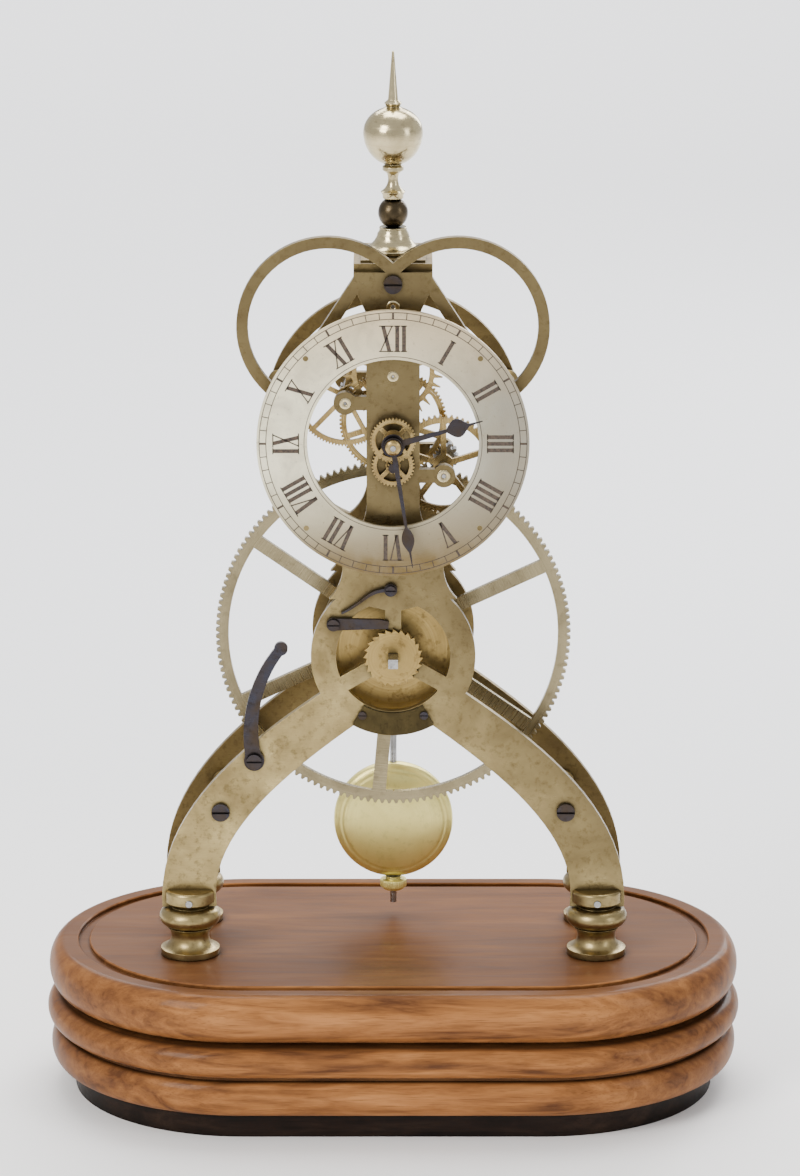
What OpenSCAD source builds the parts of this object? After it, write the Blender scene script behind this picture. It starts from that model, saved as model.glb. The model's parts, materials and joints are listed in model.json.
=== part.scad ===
// Skeleton clock: two pierced brass plates on a moulded oval base, a going-barrel train,
// an anchor escapement and a half-seconds pendulum hung behind the rear plate.
// +X is to the right and -Y is to the front. The origin is the middle of the base's underside.

/* [Base] */
// Width of the wooden base across its round ends
base_w = 310; // [290:1:330]
// Depth of the wooden base
base_d = 178; // [170:1:190]
// Height of the base, plinth included
base_h = 67; // [64:1:76]
// Height of the black plinth under the moulding
plinth_h = 12; // [8:1:14]

/* [Frame] */
// Thickness of each plate
plate_t = 4; // [3:0.5:5]
// Clear space between the plates
plate_gap = 44; // [44:1:48]
// Height of the barrel's axis above the base
barrel_z = 137; // [136:0.5:138]
// Height of the dial's centre above the base
centre_z = 235.4; // [235:0.1:236]
// Width of a leg where it leaves the hub
leg_w_top = 20; // [17:0.5:22]
// Width of a leg above its foot
leg_w_foot = 24; // [20:0.5:25]
// Width of the bars of the ear loops and the struts
bar_w = 5; // [4:0.5:6]

/* [Dial and hands] */
// Outer radius of the chapter ring
dial_r = 58.8; // [57:0.2:60]
// Inner radius of the chapter ring
dial_hole_r = 37; // [35:0.5:39]
// Hour shown
shown_hour = 2; // [0:1:11]
// Minute shown
shown_minute = 28.5; // [0:0.5:59.5]

/* [Pendulum] */
// Distance from the suspension point to the middle of the bob
pendulum_l = 248.5; // [246:0.5:252]
// Radius of the bob
bob_r = 26.8; // [24:0.2:28]
// Thickness of the bob
bob_t = 14; // [10:1:16]

/* [Gearing] */
// Thinning of every tooth, which gives the wheels their shake
tooth_slack = 0.06; // [0.04:0.01:0.1]
// Running clearance of a pivot in its hole
pivot_shake = 0.04; // [0.02:0.01:0.08]

/* [Hidden] */

$fn = 64;
brass = [0.72, 0.60, 0.32];
pale_brass = [0.87, 0.80, 0.52];
steel = [0.45, 0.47, 0.50];
blue_steel = [0.12, 0.14, 0.25];
wood = [0.55, 0.27, 0.17];
black = [0.08, 0.07, 0.07];
silver = [0.75, 0.75, 0.70];
dark_bronze = [0.25, 0.21, 0.14];

// Plate faces, front to back
front_y0 = -plate_gap / 2 - plate_t;
front_y1 = -plate_gap / 2;
rear_y0 = plate_gap / 2;
rear_y1 = plate_gap / 2 + plate_t;

// Tooth form
pressure_angle = 25;
wheel_addendum = 0.7;
pinion_addendum = 0.75;
tooth_depth = 0.95;

// Modules and tooth counts of the train
great_m = 1.0;
great_n = 156;
inter_pinion_n = 12;
inter_m = 0.8;
inter_n = 54;
centre_pinion_n = 16;
centre_m = 0.58;
centre_n = 80;
third_pinion_n = 8;
third_m = 0.46;
third_n = 96;
escape_pinion_n = 8;
escape_n = 30;
escape_r = 21.6;

// Motion work under the dial
cannon_m = 0.5;
cannon_n = 12;
minute_n = 36;
hour_m = 0.48;
minute_pinion_n = 10;
hour_n = 40;

function pitch_r(n, m) = n * m / 2;
function span(a, b, m) = (a + b) * m / 2;
// The point at distance ra from a and rb from b, on the right of the way from a to b for side 1
function meeting_point(a, b, ra, rb, side) =
  let (d = norm(b - a), u = (b - a) / d, s = (ra * ra - rb * rb + d * d) / (2 * d))
  a + u * s + [u[1], -u[0]] * side * sqrt(ra * ra - s * s);
function heading(a, b) = atan2(b[1] - a[1], b[0] - a[0]);

// Arbor places, [x, height above the base]
barrel_at = [0, barrel_z];
centre_at = [0, centre_z];
escape_at = [0, centre_z + 27];
inter_at = meeting_point(barrel_at, centre_at, span(great_n, inter_pinion_n, great_m),
  span(inter_n, centre_pinion_n, inter_m), 1);
third_at = meeting_point(centre_at, escape_at, span(centre_n, third_pinion_n, centre_m),
  span(third_n, escape_pinion_n, third_m), -1);
pallet_rise = escape_r * sqrt(2);
pallet_at = escape_at + [0, pallet_rise];
minute_at = centre_at - [0, span(cannon_n, minute_n, cannon_m)];

// The angle of a mate's first tooth, so that its gap meets the tooth of a wheel turned by phase
function mate_phase(phase, n, mate_n, way) =
  way + 180 - n / mate_n * (phase - way) - 180 / mate_n;
escape_pinion_phase = 10;
third_phase = mate_phase(escape_pinion_phase, escape_pinion_n, third_n,
  heading(escape_at, third_at));
third_pinion_phase = 5;
centre_phase = mate_phase(third_pinion_phase, third_pinion_n, centre_n,
  heading(third_at, centre_at));
centre_pinion_phase = 0;
inter_phase = mate_phase(centre_pinion_phase, centre_pinion_n, inter_n,
  heading(centre_at, inter_at));
inter_pinion_phase = 0;
great_phase = mate_phase(inter_pinion_phase, inter_pinion_n, great_n,
  heading(inter_at, barrel_at));
cannon_phase = 90;
minute_phase = mate_phase(cannon_phase, cannon_n, minute_n, heading(centre_at, minute_at));
minute_pinion_phase = 0;
hour_phase = mate_phase(minute_pinion_phase, minute_pinion_n, hour_n,
  heading(minute_at, centre_at));

// Levels along the arbors, [front, back]
escape_y = [-17.5, -16];
escape_pinion_y = [-14, -8.5];
third_y = [-12, -10.5];
third_pinion_y = [1, 7];
centre_y = [3, 4.8];
centre_pinion_y = [-6.5, -1];
inter_y = [-5, -2.5];
inter_pinion_y = [9.5, 15.5];
great_y = [11, 14];
drum_y = [-13, 11];
ratchet_y = [front_y0 - 2.5, front_y0 - 0.5];
cannon_y = [front_y0 - 3.5, front_y0 - 0.5];
minute_wheel_y = [front_y0 - 2.8, front_y0 - 1.2];
minute_pinion_y = [front_y0 - 7, front_y0 - 2.8];
hour_wheel_y = [front_y0 - 6.2, front_y0 - 4.6];
dial_y = [front_y0 - 12, front_y0 - 10];
hour_hand_y = [front_y0 - 16, front_y0 - 15];
minute_hand_y = [front_y0 - 19, front_y0 - 18];
shoulder = 0.1;

// Radii of shafts and pivots
barrel_pivot_r = 3;
barrel_shaft_r = 4;
square_w = 4.2;
square_l = 13;
inter_r = 1.8;
inter_pivot_r = 0.9;
centre_r = 1.8;
centre_pivot_r = 1.2;
third_r = 1.25;
third_pivot_r = 0.6;
escape_shaft_r = 1;
escape_pivot_r = 0.5;
pallet_r = 1.2;
pallet_pivot_r = 0.8;
cannon_pipe_r = 2;
hour_pipe_r = 2.9;
stud_r = 1.2;

drum_r = 31;
drum_wall = 2;
hub_r = 36;
hub_hole_r = 25;
great_spoke_turn = 25;
trunk_z = 176;
trunk_half = 22;
column_w = 23;
column_z = 205;
sweep_r = 20;
cap_z = 308;
cap_h = 4;
cap_half = 17;
support_r = 56;
support_hole_r = 50;
post_ring_r = 53;
ear_at = [28, 284];
ear_r = 37;
foot_x = 90;
foot_top = 30;
foot_slot = 8;
leg_curve = [[20, 116], [60, 88], [foot_x + 4, 58], [foot_x, foot_top - foot_slot - 1]];
// Pillars, [x, height]; they stand clear of the great wheel
pillar_spots = [[-76, 66], [76, 66], [-50, 250], [50, 250], [0, 303]];
pillar_bore_r = 1.85;
pendulum_y = rear_y1 + 7;
swing_axis_z = pallet_at[1];
bob_z = swing_axis_z - pendulum_l;
rod_r = 1.5;
lever_at = [-61, 90];
click_at = barrel_at + [-26, 15];
ratchet_r = 13;

// ---- helpers -------------------------------------------------------------

// Lifts a sub-part from the top of the base to its place
module on_base() translate([0, 0, base_h]) children();

// Extrudes a shape drawn as [x, height] from front to back between two y values
module slab(y) translate([0, y[1], 0]) rotate([90, 0, 0]) linear_extrude(y[1] - y[0]) children();

// A round bar along y
module rod(at, r, y) translate([at[0], y[1], at[1]]) rotate([90, 0, 0])
  cylinder(r = r, h = y[1] - y[0]);

// A solid turned about an axis along y; the profile is drawn as [radius, y]
module turned_y(at) translate([at[0], 0, at[1]]) rotate([-90, 0, 0]) rotate_extrude() children();

function polar(r, a) = [r * cos(a), r * sin(a)];
function arc(c, r, a0, a1, n) = [for (i = [0:n]) c + polar(r, a0 + (a1 - a0) * i / n)];
// An elliptic bulge on the right of a profile, from its foot to its head
function bulge(c, rx, ry, n) = [for (i = [0:n]) let (a = -90 + 180 * i / n)
  c + [rx * cos(a), ry * sin(a)]];

function bezier(p, t) = pow(1 - t, 3) * p[0] + 3 * t * pow(1 - t, 2) * p[1]
  + 3 * t * t * (1 - t) * p[2] + pow(t, 3) * p[3];
function bezier_slope(p, t) = pow(1 - t, 2) * (p[1] - p[0]) + 2 * t * (1 - t) * (p[2] - p[1])
  + t * t * (p[3] - p[2]);
function beside(p, t, w) = let (d = bezier_slope(p, t))
  bezier(p, t) + [-d[1], d[0]] / norm(d) * w / 2;
// A curved bar whose width runs from w0 to w1
function ribbon(p, w0, w1, n) = concat(
  [for (i = [0:n]) beside(p, i / n, -(w0 + (w1 - w0) * i / n))],
  [for (i = [n:-1:0]) beside(p, i / n, w0 + (w1 - w0) * i / n)]);

function involute(base_r, r) = let (a = acos(min(1, base_r / r))) tan(a) * 180 / PI - a;
// Half of a tooth's angle at radius r
function half_tooth(n, m, r) =
  let (rp = pitch_r(n, m), rb = rp * cos(pressure_angle))
  90 / n - tooth_slack / 2 / rp * 180 / PI + involute(rb, rp) - involute(rb, max(r, rb));
function flank_radii(n, m, add) =
  let (rp = pitch_r(n, m), rf = rp - tooth_depth * m, rb = rp * cos(pressure_angle))
  rb > rf ? [rf, rb, rp, rp + add * m] : [rf, rp, rp + add * m];
function gear_outline(n, m, add, phase) =
  let (radii = flank_radii(n, m, add), last = len(radii) - 1)
  [for (tooth = [0:n - 1]) let (a = phase + tooth * 360 / n)
    each concat([for (i = [0:last]) polar(radii[i], a - half_tooth(n, m, radii[i]))],
      [for (i = [last:-1:0]) polar(radii[i], a + half_tooth(n, m, radii[i]))])];

// A spoked wheel: teeth, rim, spokes and hub, with a bore
module spoked_wheel(at, y, n, m, phase, rim_w, spokes, spoke_w, hub, bore, turn = 0) {
  rim_r = pitch_r(n, m) - tooth_depth * m - rim_w;
  translate([at[0], 0, at[1]]) difference() {
    union() {
      slab(y) difference() {
        polygon(gear_outline(n, m, wheel_addendum, phase));
        circle(r = rim_r, $fn = 128);
      }
      slab(y) for (i = [0:spokes - 1]) rotate(turn + i * 360 / spokes)
        translate([hub / 2, -spoke_w / 2]) square([rim_r + rim_w / 2 - hub / 2, spoke_w]);
      rod([0, 0], hub, y);
    }
    rod([0, 0], bore, [y[0] - 1, y[1] + 1]);
  }
}

// A steel arbor with its pinion and the two pivots that run in the plates
module pinion_arbor(at, r, pivot_r, n, m, phase, pinion_y, front_end, rear_end) {
  translate([at[0], 0, at[1]]) {
    rod([0, 0], r, [front_y1 + shoulder, rear_y0 - shoulder]);
    rod([0, 0], pivot_r, [front_end, rear_end]);
    slab(pinion_y) polygon(gear_outline(n, m, pinion_addendum, phase));
  }
}

// A cheese-headed screw whose head lies on the front of a surface at y
module screw(at, y, head_r, head_h, shank_r, shank_l) {
  translate([at[0], 0, at[1]]) {
    difference() {
      rod([0, 0], head_r, [y - head_h, y]);
      translate([-head_r - 1, y - head_h - 1, -head_r / 8])
        cube([2 * head_r + 2, 1 + head_h / 2, head_r / 4]);
    }
    rod([0, 0], shank_r, [y, y + shank_l]);
  }
}

// Holes along y through a plate
module plate_hole(at, r, y) rod(at, r, [y[0] - 1, y[1] + 1]);

// ---- base ----------------------------------------------------------------

top_band_h = 22;
mid_band_h = 14;
groove_in = 3.5;
groove_h = 1.5;
dome_groove_in = 14;
dome_groove_w = 5;
dome_groove_d = 2;
low_band_h = base_h - plinth_h - top_band_h - mid_band_h - 2 * groove_h;

// Half of the board's section: three swelling bands with grooves between, and the dome's groove
function board_section(r) = let (
    z0 = plinth_h,
    z1 = z0 + low_band_h,
    z2 = z1 + groove_h,
    z3 = z2 + mid_band_h,
    z4 = z3 + groove_h,
    waist = r - groove_in - 3,
    groove_out = r - dome_groove_in)
  concat(
    [[0, z0]],
    bulge([waist, (z0 + z1) / 2], 5, low_band_h / 2, 12),
    bulge([waist, (z2 + z3) / 2], 6.5, mid_band_h / 2, 12),
    bulge([waist - 2, (z4 + base_h) / 2], 7.5, top_band_h / 2, 16),
    [[groove_out, base_h], [groove_out, base_h - dome_groove_d],
      [groove_out - dome_groove_w, base_h - dome_groove_d],
      [groove_out - dome_groove_w, base_h], [0, base_h]]);

// Sweeps a half section round the oval plan
module oval(points, w, d) {
  straight = w - d;
  for (side = [0, 1]) mirror([side, 0, 0]) translate([straight / 2, 0, 0])
    rotate([0, 0, -90]) rotate_extrude(angle = 180, $fn = 128) polygon(points);
  rotate([90, 0, 90]) translate([0, 0, -straight / 2]) linear_extrude(straight) {
    polygon(points);
    mirror([1, 0]) polygon(points);
  }
}

bolt_r = 2.5;
bolt_head_r = 6;
bolt_head_h = 4;
foot_y = (front_y0 + front_y1) / 2;

module at_feet() for (x = [-foot_x, foot_x], y = [foot_y, -foot_y]) translate([x, y, 0]) children();

module base_board() color(wood) difference() {
  oval(board_section(base_d / 2), base_w, base_d);
  at_feet() translate([0, 0, plinth_h - 1]) cylinder(r = bolt_r + 0.2, h = base_h);
}

plinth_in = 12;

module base_plinth() color(black) difference() {
  oval([[0, 0], [base_d / 2 - plinth_in, 0], [base_d / 2 - plinth_in, plinth_h], [0, plinth_h]],
    base_w - 2 * plinth_in, base_d - 2 * plinth_in);
  at_feet() translate([0, 0, -1]) cylinder(r = bolt_head_r + 1, h = plinth_h + 2);
}

// ---- frame ---------------------------------------------------------------

foot_r = 13;
foot_pin_r = 1.5;

// A turned foot with a slotted head that the leg stands in
module frame_feet() color(brass) on_base() at_feet() difference() {
  rotate_extrude() polygon(concat(
    [[0, 0], [foot_r, 0], [foot_r, 3]],
    arc([foot_r + 1, 8.5], 5.6, 260, 130, 8),
    bulge([8.5, 17.5], 5, 4.5, 8),
    [[9, 23], [11, 24.5], [11, foot_top - 1.5], [9.5, foot_top], [0, foot_top]]));
  translate([-foot_r, -plate_t / 2, foot_top - foot_slot]) cube([2 * foot_r, plate_t, foot_slot + 1]);
  translate([0, 0, -1]) cylinder(r = bolt_r, h = 16);
  rod([0, foot_top - foot_slot / 2], foot_pin_r, [-foot_r, foot_r]);
}

// Bolts from the plinth's pockets up into the feet
module foot_bolts() color(steel) at_feet() {
  translate([0, 0, plinth_h - bolt_head_h]) cylinder(r = bolt_head_r, h = bolt_head_h);
  translate([0, 0, plinth_h]) cylinder(r = bolt_r, h = base_h - plinth_h + 14);
}

// Pins through each foot's head and the leg in it
module foot_pins() color(steel) on_base() for (x = [-foot_x, foot_x], y = [foot_y, -foot_y])
  rod([x, foot_top - foot_slot / 2], foot_pin_r, [y - 11.5, y + 11.5]);

// One side of the plate: leg, ear loop, strut and shoulder
module plate_side() {
  intersection() {
    polygon(ribbon(leg_curve, leg_w_top, leg_w_foot, 20));
    translate([0, foot_top - foot_slot]) square([foot_x + leg_w_foot, barrel_z]);
  }
  // shoulder between the hub and the trunk
  polygon(concat([[0, barrel_z + 20], [trunk_half + 2, barrel_z + 26]],
    arc([trunk_half + sweep_r, trunk_z + 1], sweep_r, 225, 180, 6),
    [[trunk_half, trunk_z + 6], [0, trunk_z + 6]]));
  // sweep of the trunk into the column behind the dial
  polygon(concat([[0, trunk_z], [trunk_half, trunk_z + 5]],
    arc([column_w / 2 + sweep_r, column_z], sweep_r, 235, 180, 6), [[0, column_z + 1]]));
  // swelling of the column under the cap
  polygon([[0, cap_z - 18], [column_w / 2, cap_z - 18], [cap_half, cap_z - 6], [cap_half, cap_z],
    [0, cap_z]]);
}

strut_foot = [51, 247.5];
crown_top = 340;

// Strut and ear loop, which only the front plate has
module crown_side() {
  // strut from the cap to the dial's edge
  polygon([[12, cap_z - 4], strut_foot - [2.5, 1.5], strut_foot + [2.5, 1.5], [15.5, cap_z]]);
  // ear loop, from the middle of the crown round to the foot of the strut
  intersection() {
    translate(ear_at) difference() {
      circle(r = ear_r + bar_w / 2, $fn = 128);
      circle(r = ear_r - bar_w / 2, $fn = 128);
    }
    polygon([[0, cap_z - 4], [40, cap_z + 1], [46, centre_z + 27], strut_foot - [-1, 3.5],
      strut_foot + [29, -3.5], [80, crown_top], [0, crown_top]]);
  }
}

module plate_outline() {
  plate_side();
  mirror([1, 0]) plate_side();
  translate(barrel_at) difference() {
    circle(r = hub_r, $fn = 128);
    circle(r = hub_hole_r, $fn = 128);
  }
  // three arms that carry the barrel arbor
  translate(barrel_at) {
    circle(r = 9);
    for (a = [90, 210, 330]) rotate(a) translate([0, -3.5]) square([hub_hole_r + 2, 7]);
  }
  // column, and the ring that carries the dial
  translate([-column_w / 2, column_z - 15]) square([column_w, cap_z - column_z + 15]);
  translate(centre_at) difference() {
    circle(r = support_r, $fn = 128);
    circle(r = support_hole_r, $fn = 128);
  }
  // lugs for the arbors that stand beside the column
  arbor_lug(third_at);
  arbor_lug(inter_at);
}

lug_r = 5;

// A round lug and the arm that joins it to the column
module arbor_lug(at) {
  translate(at) circle(r = lug_r);
  translate([min(0, at[0]), at[1] - 3]) square([abs(at[0]), 6]);
}

// A plate, drilled for pivots, pillars and the feet's pins
module plate(y, barrel_pivot, centre_pivot, crown) color(brass) on_base() difference() {
  slab(y) {
    plate_outline();
    if (crown) for (side = [0, 1]) mirror([side, 0]) crown_side();
  }
  plate_hole(barrel_at, barrel_pivot + pivot_shake, y);
  plate_hole(centre_at, centre_pivot + pivot_shake, y);
  plate_hole(inter_at, inter_pivot_r + pivot_shake, y);
  plate_hole(third_at, third_pivot_r + pivot_shake, y);
  plate_hole(escape_at, escape_pivot_r + pivot_shake, y);
  plate_hole(pallet_at, pallet_pivot_r + pivot_shake, y);
  for (p = pillar_spots) plate_hole(p, pillar_bore_r, y);
  for (x = [-foot_x, foot_x]) plate_hole([x, foot_top - foot_slot / 2], foot_pin_r, y);
  children();
}

module front_plate() plate([front_y0, front_y1], barrel_pivot_r, centre_pivot_r, true) {
  plate_hole(minute_at, stud_r, [front_y0, front_y1]);
  plate_hole(click_at, 1.2, [front_y0, front_y1]);
  plate_hole(spring_foot, 1.2, [front_y0, front_y1]);
  plate_hole(lever_at, 1.5, [front_y0, front_y1]);
  for (a = post_angles) plate_hole(centre_at + polar(post_ring_r, a), 1.2, [front_y0, front_y1]);
  for (x = [-nameplate_screw_x, nameplate_screw_x])
    plate_hole([x, nameplate_screw_z], 1, [front_y0, front_y1]);
}

module rear_plate() plate([rear_y0, rear_y1], barrel_pivot_r, centre_pivot_r, false)
  for (x = [-cock_screw_x, cock_screw_x]) plate_hole([x, cock_screw_z], 1.2, [rear_y0, rear_y1]);

// Turned pillars with tapped ends
module pillars() color(brass) on_base() difference() {
  for (p = pillar_spots) {
    r = p[0] == 0 ? 4 : 5;
    turned_y(p) polygon([[0, front_y1], [r, front_y1], [r, front_y1 + 2], [r - 1.5, front_y1 + 4],
      [r - 1.5, -5], [r, -3], [r, 3], [r - 1.5, 5], [r - 1.5, rear_y0 - 4], [r, rear_y0 - 2],
      [r, rear_y0], [0, rear_y0]]);
  }
  for (p = pillar_spots) {
    rod(p, pillar_bore_r, [front_y1 - 1, front_y1 + 9]);
    rod(p, pillar_bore_r, [rear_y0 - 9, rear_y0 + 1]);
  }
  translate([0, 0, pillar_spots[4][1]]) cylinder(r = stud_bore_r, h = 10);
}

// Screws that clamp both plates to the pillars
module pillar_screws() color(blue_steel) on_base() for (p = pillar_spots) {
  screw(p, front_y0, 4, 2.2, pillar_bore_r - 0.05, plate_t + 7);
  mirror([0, 1, 0]) screw(p, -rear_y1, 4, 2.2, pillar_bore_r - 0.05, plate_t + 7);
}

stud_bore_r = 1.5;

// Block between the crowns of the plates, which carries the finial
module top_cap() color(brass) on_base() difference() {
  union() {
    translate([-cap_half, front_y1, cap_z - 1]) cube([2 * cap_half, plate_gap, cap_h]);
    translate([3 - cap_half, front_y1 + 3, cap_z + cap_h - 1])
      cube([2 * cap_half - 6, plate_gap - 6, 1]);
  }
  translate([0, 0, cap_z - 2]) cylinder(r = stud_bore_r, h = cap_h + 3);
}

finial_stud_l = 44;

module finial_stud() color(steel) on_base() translate([0, 0, pillar_spots[4][1]])
  cylinder(r = stud_bore_r, h = finial_stud_l);

finial_z = cap_z + cap_h;

module finial_turning(points) on_base() difference() {
  rotate_extrude() polygon(points);
  translate([0, 0, cap_z]) cylinder(r = stud_bore_r, h = finial_stud_l - (cap_z - pillar_spots[4][1]));
}

// Trumpet-shaped foot of the finial
module finial_base() color(brass) finial_turning(concat(
  [[0, finial_z], [13, finial_z], [13, finial_z + 2]],
  arc([14.5, finial_z + 9.5], 7.8, 255, 190, 8),
  [[6, finial_z + 9.5], [6, knop_z], [0, knop_z]]));

knop_z = finial_z + 11;
knop_h = 12.4;

module finial_knop() color(dark_bronze) finial_turning(concat([[0, knop_z]],
  bulge([1.5, knop_z + knop_h / 2], 5, knop_h / 2, 10), [[0, knop_z + knop_h]]));

spire_z = knop_z + knop_h;
ball_z = spire_z + 29;
ball_r = 12.9;
ball_drop = 14.5;
ball_rise = 11;

// Neck, pear-shaped ball and spike
module finial_spire() color(brass) finial_turning(concat(
  [[0, spire_z], [4.5, spire_z], [4.5, spire_z + 1.5]],
  arc([8.5, spire_z + 8.5], 6.3, 240, 155, 8),
  [[4.6, spire_z + 12.5], [4.6, spire_z + 14], [3.4, spire_z + 15]],
  [for (a = [-62:12:70]) [ball_r * cos(a), ball_z + (a < 0 ? ball_drop : ball_rise) * sin(a)]],
  [[3, ball_z + 11.2], [3.8, ball_z + 12.7], [2.2, ball_z + 14.2], [0.5, ball_z + 35],
    [0, ball_z + 35.4]]));

nameplate_t = 1.2;
nameplate_screw_x = 13.5;
nameplate_screw_z = barrel_z - 26.5;

// Blank plate at the foot of the hub, a sector of the hub's ring
module nameplate() color(dark_bronze) on_base() difference() {
  slab([front_y0 - nameplate_t, front_y0]) translate(barrel_at)
    polygon(concat(arc([0, 0], hub_r - 0.5, 240, 300, 16),
      arc([0, 0], hub_hole_r + 0.5, 300, 240, 16)));
  for (x = [-nameplate_screw_x, nameplate_screw_x])
    plate_hole([x, nameplate_screw_z], 1, [front_y0 - nameplate_t, front_y0]);
}

module nameplate_screws() color(blue_steel) on_base()
  for (x = [-nameplate_screw_x, nameplate_screw_x])
    screw([x, nameplate_screw_z], front_y0 - nameplate_t, 1.8, 0.8, 0.95, 4);

// ---- dial ----------------------------------------------------------------

post_angles = [45, 135, 225, 315];

// Silvered ring that carries the hours and minutes
module chapter_ring() color(silver) on_base() difference() {
  slab(dial_y) translate(centre_at) difference() {
    circle(r = dial_r, $fn = 180);
    circle(r = dial_hole_r, $fn = 180);
  }
  for (a = post_angles) plate_hole(centre_at + polar(post_ring_r, a), 1.2, dial_y);
}

// Posts that hold the ring off the front plate, riveted into both
module dial_posts() color(brass) on_base() for (a = post_angles) {
  at = centre_at + polar(post_ring_r, a);
  rod(at, 2.4, [dial_y[1], front_y0]);
  rod(at, 1.2, [dial_y[0], front_y1]);
}

// ---- barrel --------------------------------------------------------------

floor_t = 2;
cover_t = 1.5;

// Open-fronted drum, closed at the back by its floor
module barrel_drum() color(brass) on_base() difference() {
  rod(barrel_at, drum_r, drum_y);
  rod(barrel_at, drum_r - drum_wall, [drum_y[0] - 1, drum_y[1] - floor_t]);
  rod(barrel_at, barrel_shaft_r + pivot_shake, [drum_y[0], drum_y[1] + 1]);
}

module barrel_cover() color(brass) on_base() difference() {
  rod(barrel_at, drum_r - drum_wall, [drum_y[0], drum_y[0] + cover_t]);
  rod(barrel_at, barrel_shaft_r + pivot_shake, [drum_y[0] - 1, drum_y[0] + cover_t + 1]);
}

module great_wheel() color(brass) on_base() spoked_wheel(barrel_at, great_y, great_n, great_m,
  great_phase, 4, 6, 6, drum_r + 1, barrel_shaft_r + 1, great_spoke_turn);

spring_turns = 5;
spring_step = 4.2;
spring_r0 = 7;
spring_strip = 1.4;

turn_points = 20;

// One edge of the coiled strip between the arbor and the drum's wall
function spring_edge(extra) = [for (i = [0:turn_points * spring_turns])
  polar(spring_r0 + extra + spring_step * i / turn_points, i * 360 / turn_points)];

module mainspring() color(steel) on_base()
  slab([drum_y[0] + cover_t + 0.5, drum_y[1] - floor_t - 0.5]) translate(barrel_at)
    polygon(concat([for (i = [turn_points * spring_turns:-1:0]) spring_edge(-spring_strip / 2)[i]],
      spring_edge(spring_strip / 2)));

// Winding arbor: shaft, pivots in both plates, and the key's square in front
module barrel_arbor() color(steel) on_base() {
  rod(barrel_at, barrel_shaft_r, [drum_y[0] - 0.5, great_y[1] + 0.5]);
  rod(barrel_at, barrel_shaft_r + 1.5, [front_y1 + shoulder, drum_y[0] - 0.5]);
  rod(barrel_at, barrel_shaft_r + 1.5, [great_y[1] + 0.5, rear_y0 - shoulder]);
  rod(barrel_at, barrel_pivot_r, [front_y0, rear_y1]);
  slab([front_y0 - square_l, front_y0]) translate(barrel_at) square(square_w, center = true);
}

ratchet_n = 24;
ratchet_tooth = 1.6;

module ratchet_wheel() color(brass) on_base() difference() {
  slab(ratchet_y) translate(barrel_at) polygon([for (i = [0:ratchet_n - 1]) each [
    polar(ratchet_r, i * 360 / ratchet_n),
    polar(ratchet_r - ratchet_tooth, (i + 0.12) * 360 / ratchet_n)]]);
  slab([ratchet_y[0] - 1, ratchet_y[1] + 1]) translate(barrel_at)
    square(square_w + 0.1, center = true);
}

click_boss_r = 3;
click_tip = barrel_at + polar(ratchet_r + 0.3, 100);

// Pawl over the ratchet's teeth
module click() color(blue_steel) on_base() difference() {
  union() {
    rod(click_at, click_boss_r, ratchet_y);
    slab(ratchet_y) polygon([click_at + [-1, 2.8], click_tip + [-3, 4.2], click_tip + [0.5, 3.2],
      click_tip + [0.2, 0.1], click_at + [1.5, -2.6]]);
  }
  rod(click_at, 1.2 + pivot_shake, [ratchet_y[0] - 1, ratchet_y[1] + 1]);
}

// Shouldered screws that hold the click and its spring
module click_screw() color(blue_steel) on_base() {
  screw(click_at, ratchet_y[0] - 0.1, 2.6, 1.4, 1.2, front_y1 - ratchet_y[0] + 0.1);
  screw(spring_foot, ratchet_y[0], 2.2, 1.2, 1.2, front_y1 - ratchet_y[0]);
}

spring_foot = barrel_at + polar(30.5, 92);

// Bent leaf that bears on the click near its pivot
module click_spring() color(blue_steel) on_base() difference() {
  slab([ratchet_y[0], front_y0]) union() {
    translate(spring_foot) circle(r = 2.8);
    polygon(ribbon([spring_foot, spring_foot + [-10, 0.5], click_at + [14, 10], click_at + [3.5, 5]],
      1.6, 0.8, 12));
  }
  plate_hole(spring_foot, 1.2, ratchet_y);
}

// ---- train ---------------------------------------------------------------

module intermediate_wheel() color(brass) on_base() spoked_wheel(inter_at, inter_y, inter_n,
  inter_m, inter_phase, 2.2, 5, 2.4, 4.5, inter_r, 18);

module intermediate_arbor() color(steel) on_base() pinion_arbor(inter_at, inter_r, inter_pivot_r,
  inter_pinion_n, great_m, inter_pinion_phase, inter_pinion_y, front_y0, rear_y1);

module centre_wheel() color(brass) on_base() spoked_wheel(centre_at, centre_y, centre_n,
  centre_m, centre_phase, 2.2, 5, 2.4, 4.5, centre_r, 54);

// The centre arbor runs on through the front plate to carry the cannon pinion
module centre_arbor() color(steel) on_base() pinion_arbor(centre_at, centre_r, centre_pivot_r,
  centre_pinion_n, inter_m, centre_pinion_phase, centre_pinion_y, minute_hand_y[0] - 2.5, rear_y1);

module third_wheel() color(brass) on_base() spoked_wheel(third_at, third_y, third_n, third_m,
  third_phase, 2, 5, 2, 4, third_r, 10);

module third_arbor() color(steel) on_base() pinion_arbor(third_at, third_r, third_pivot_r,
  third_pinion_n, centre_m, third_pinion_phase, third_pinion_y, front_y0, rear_y1);

escape_tooth = 3.4;
escape_rim_r = 15.8;
// Angles of a tooth's tip, its undercut front and the root before the next tooth
tip_a = 0.9;
undercut_a = 2.2;
root_a = 6;
back_a = 2.6;

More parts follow.
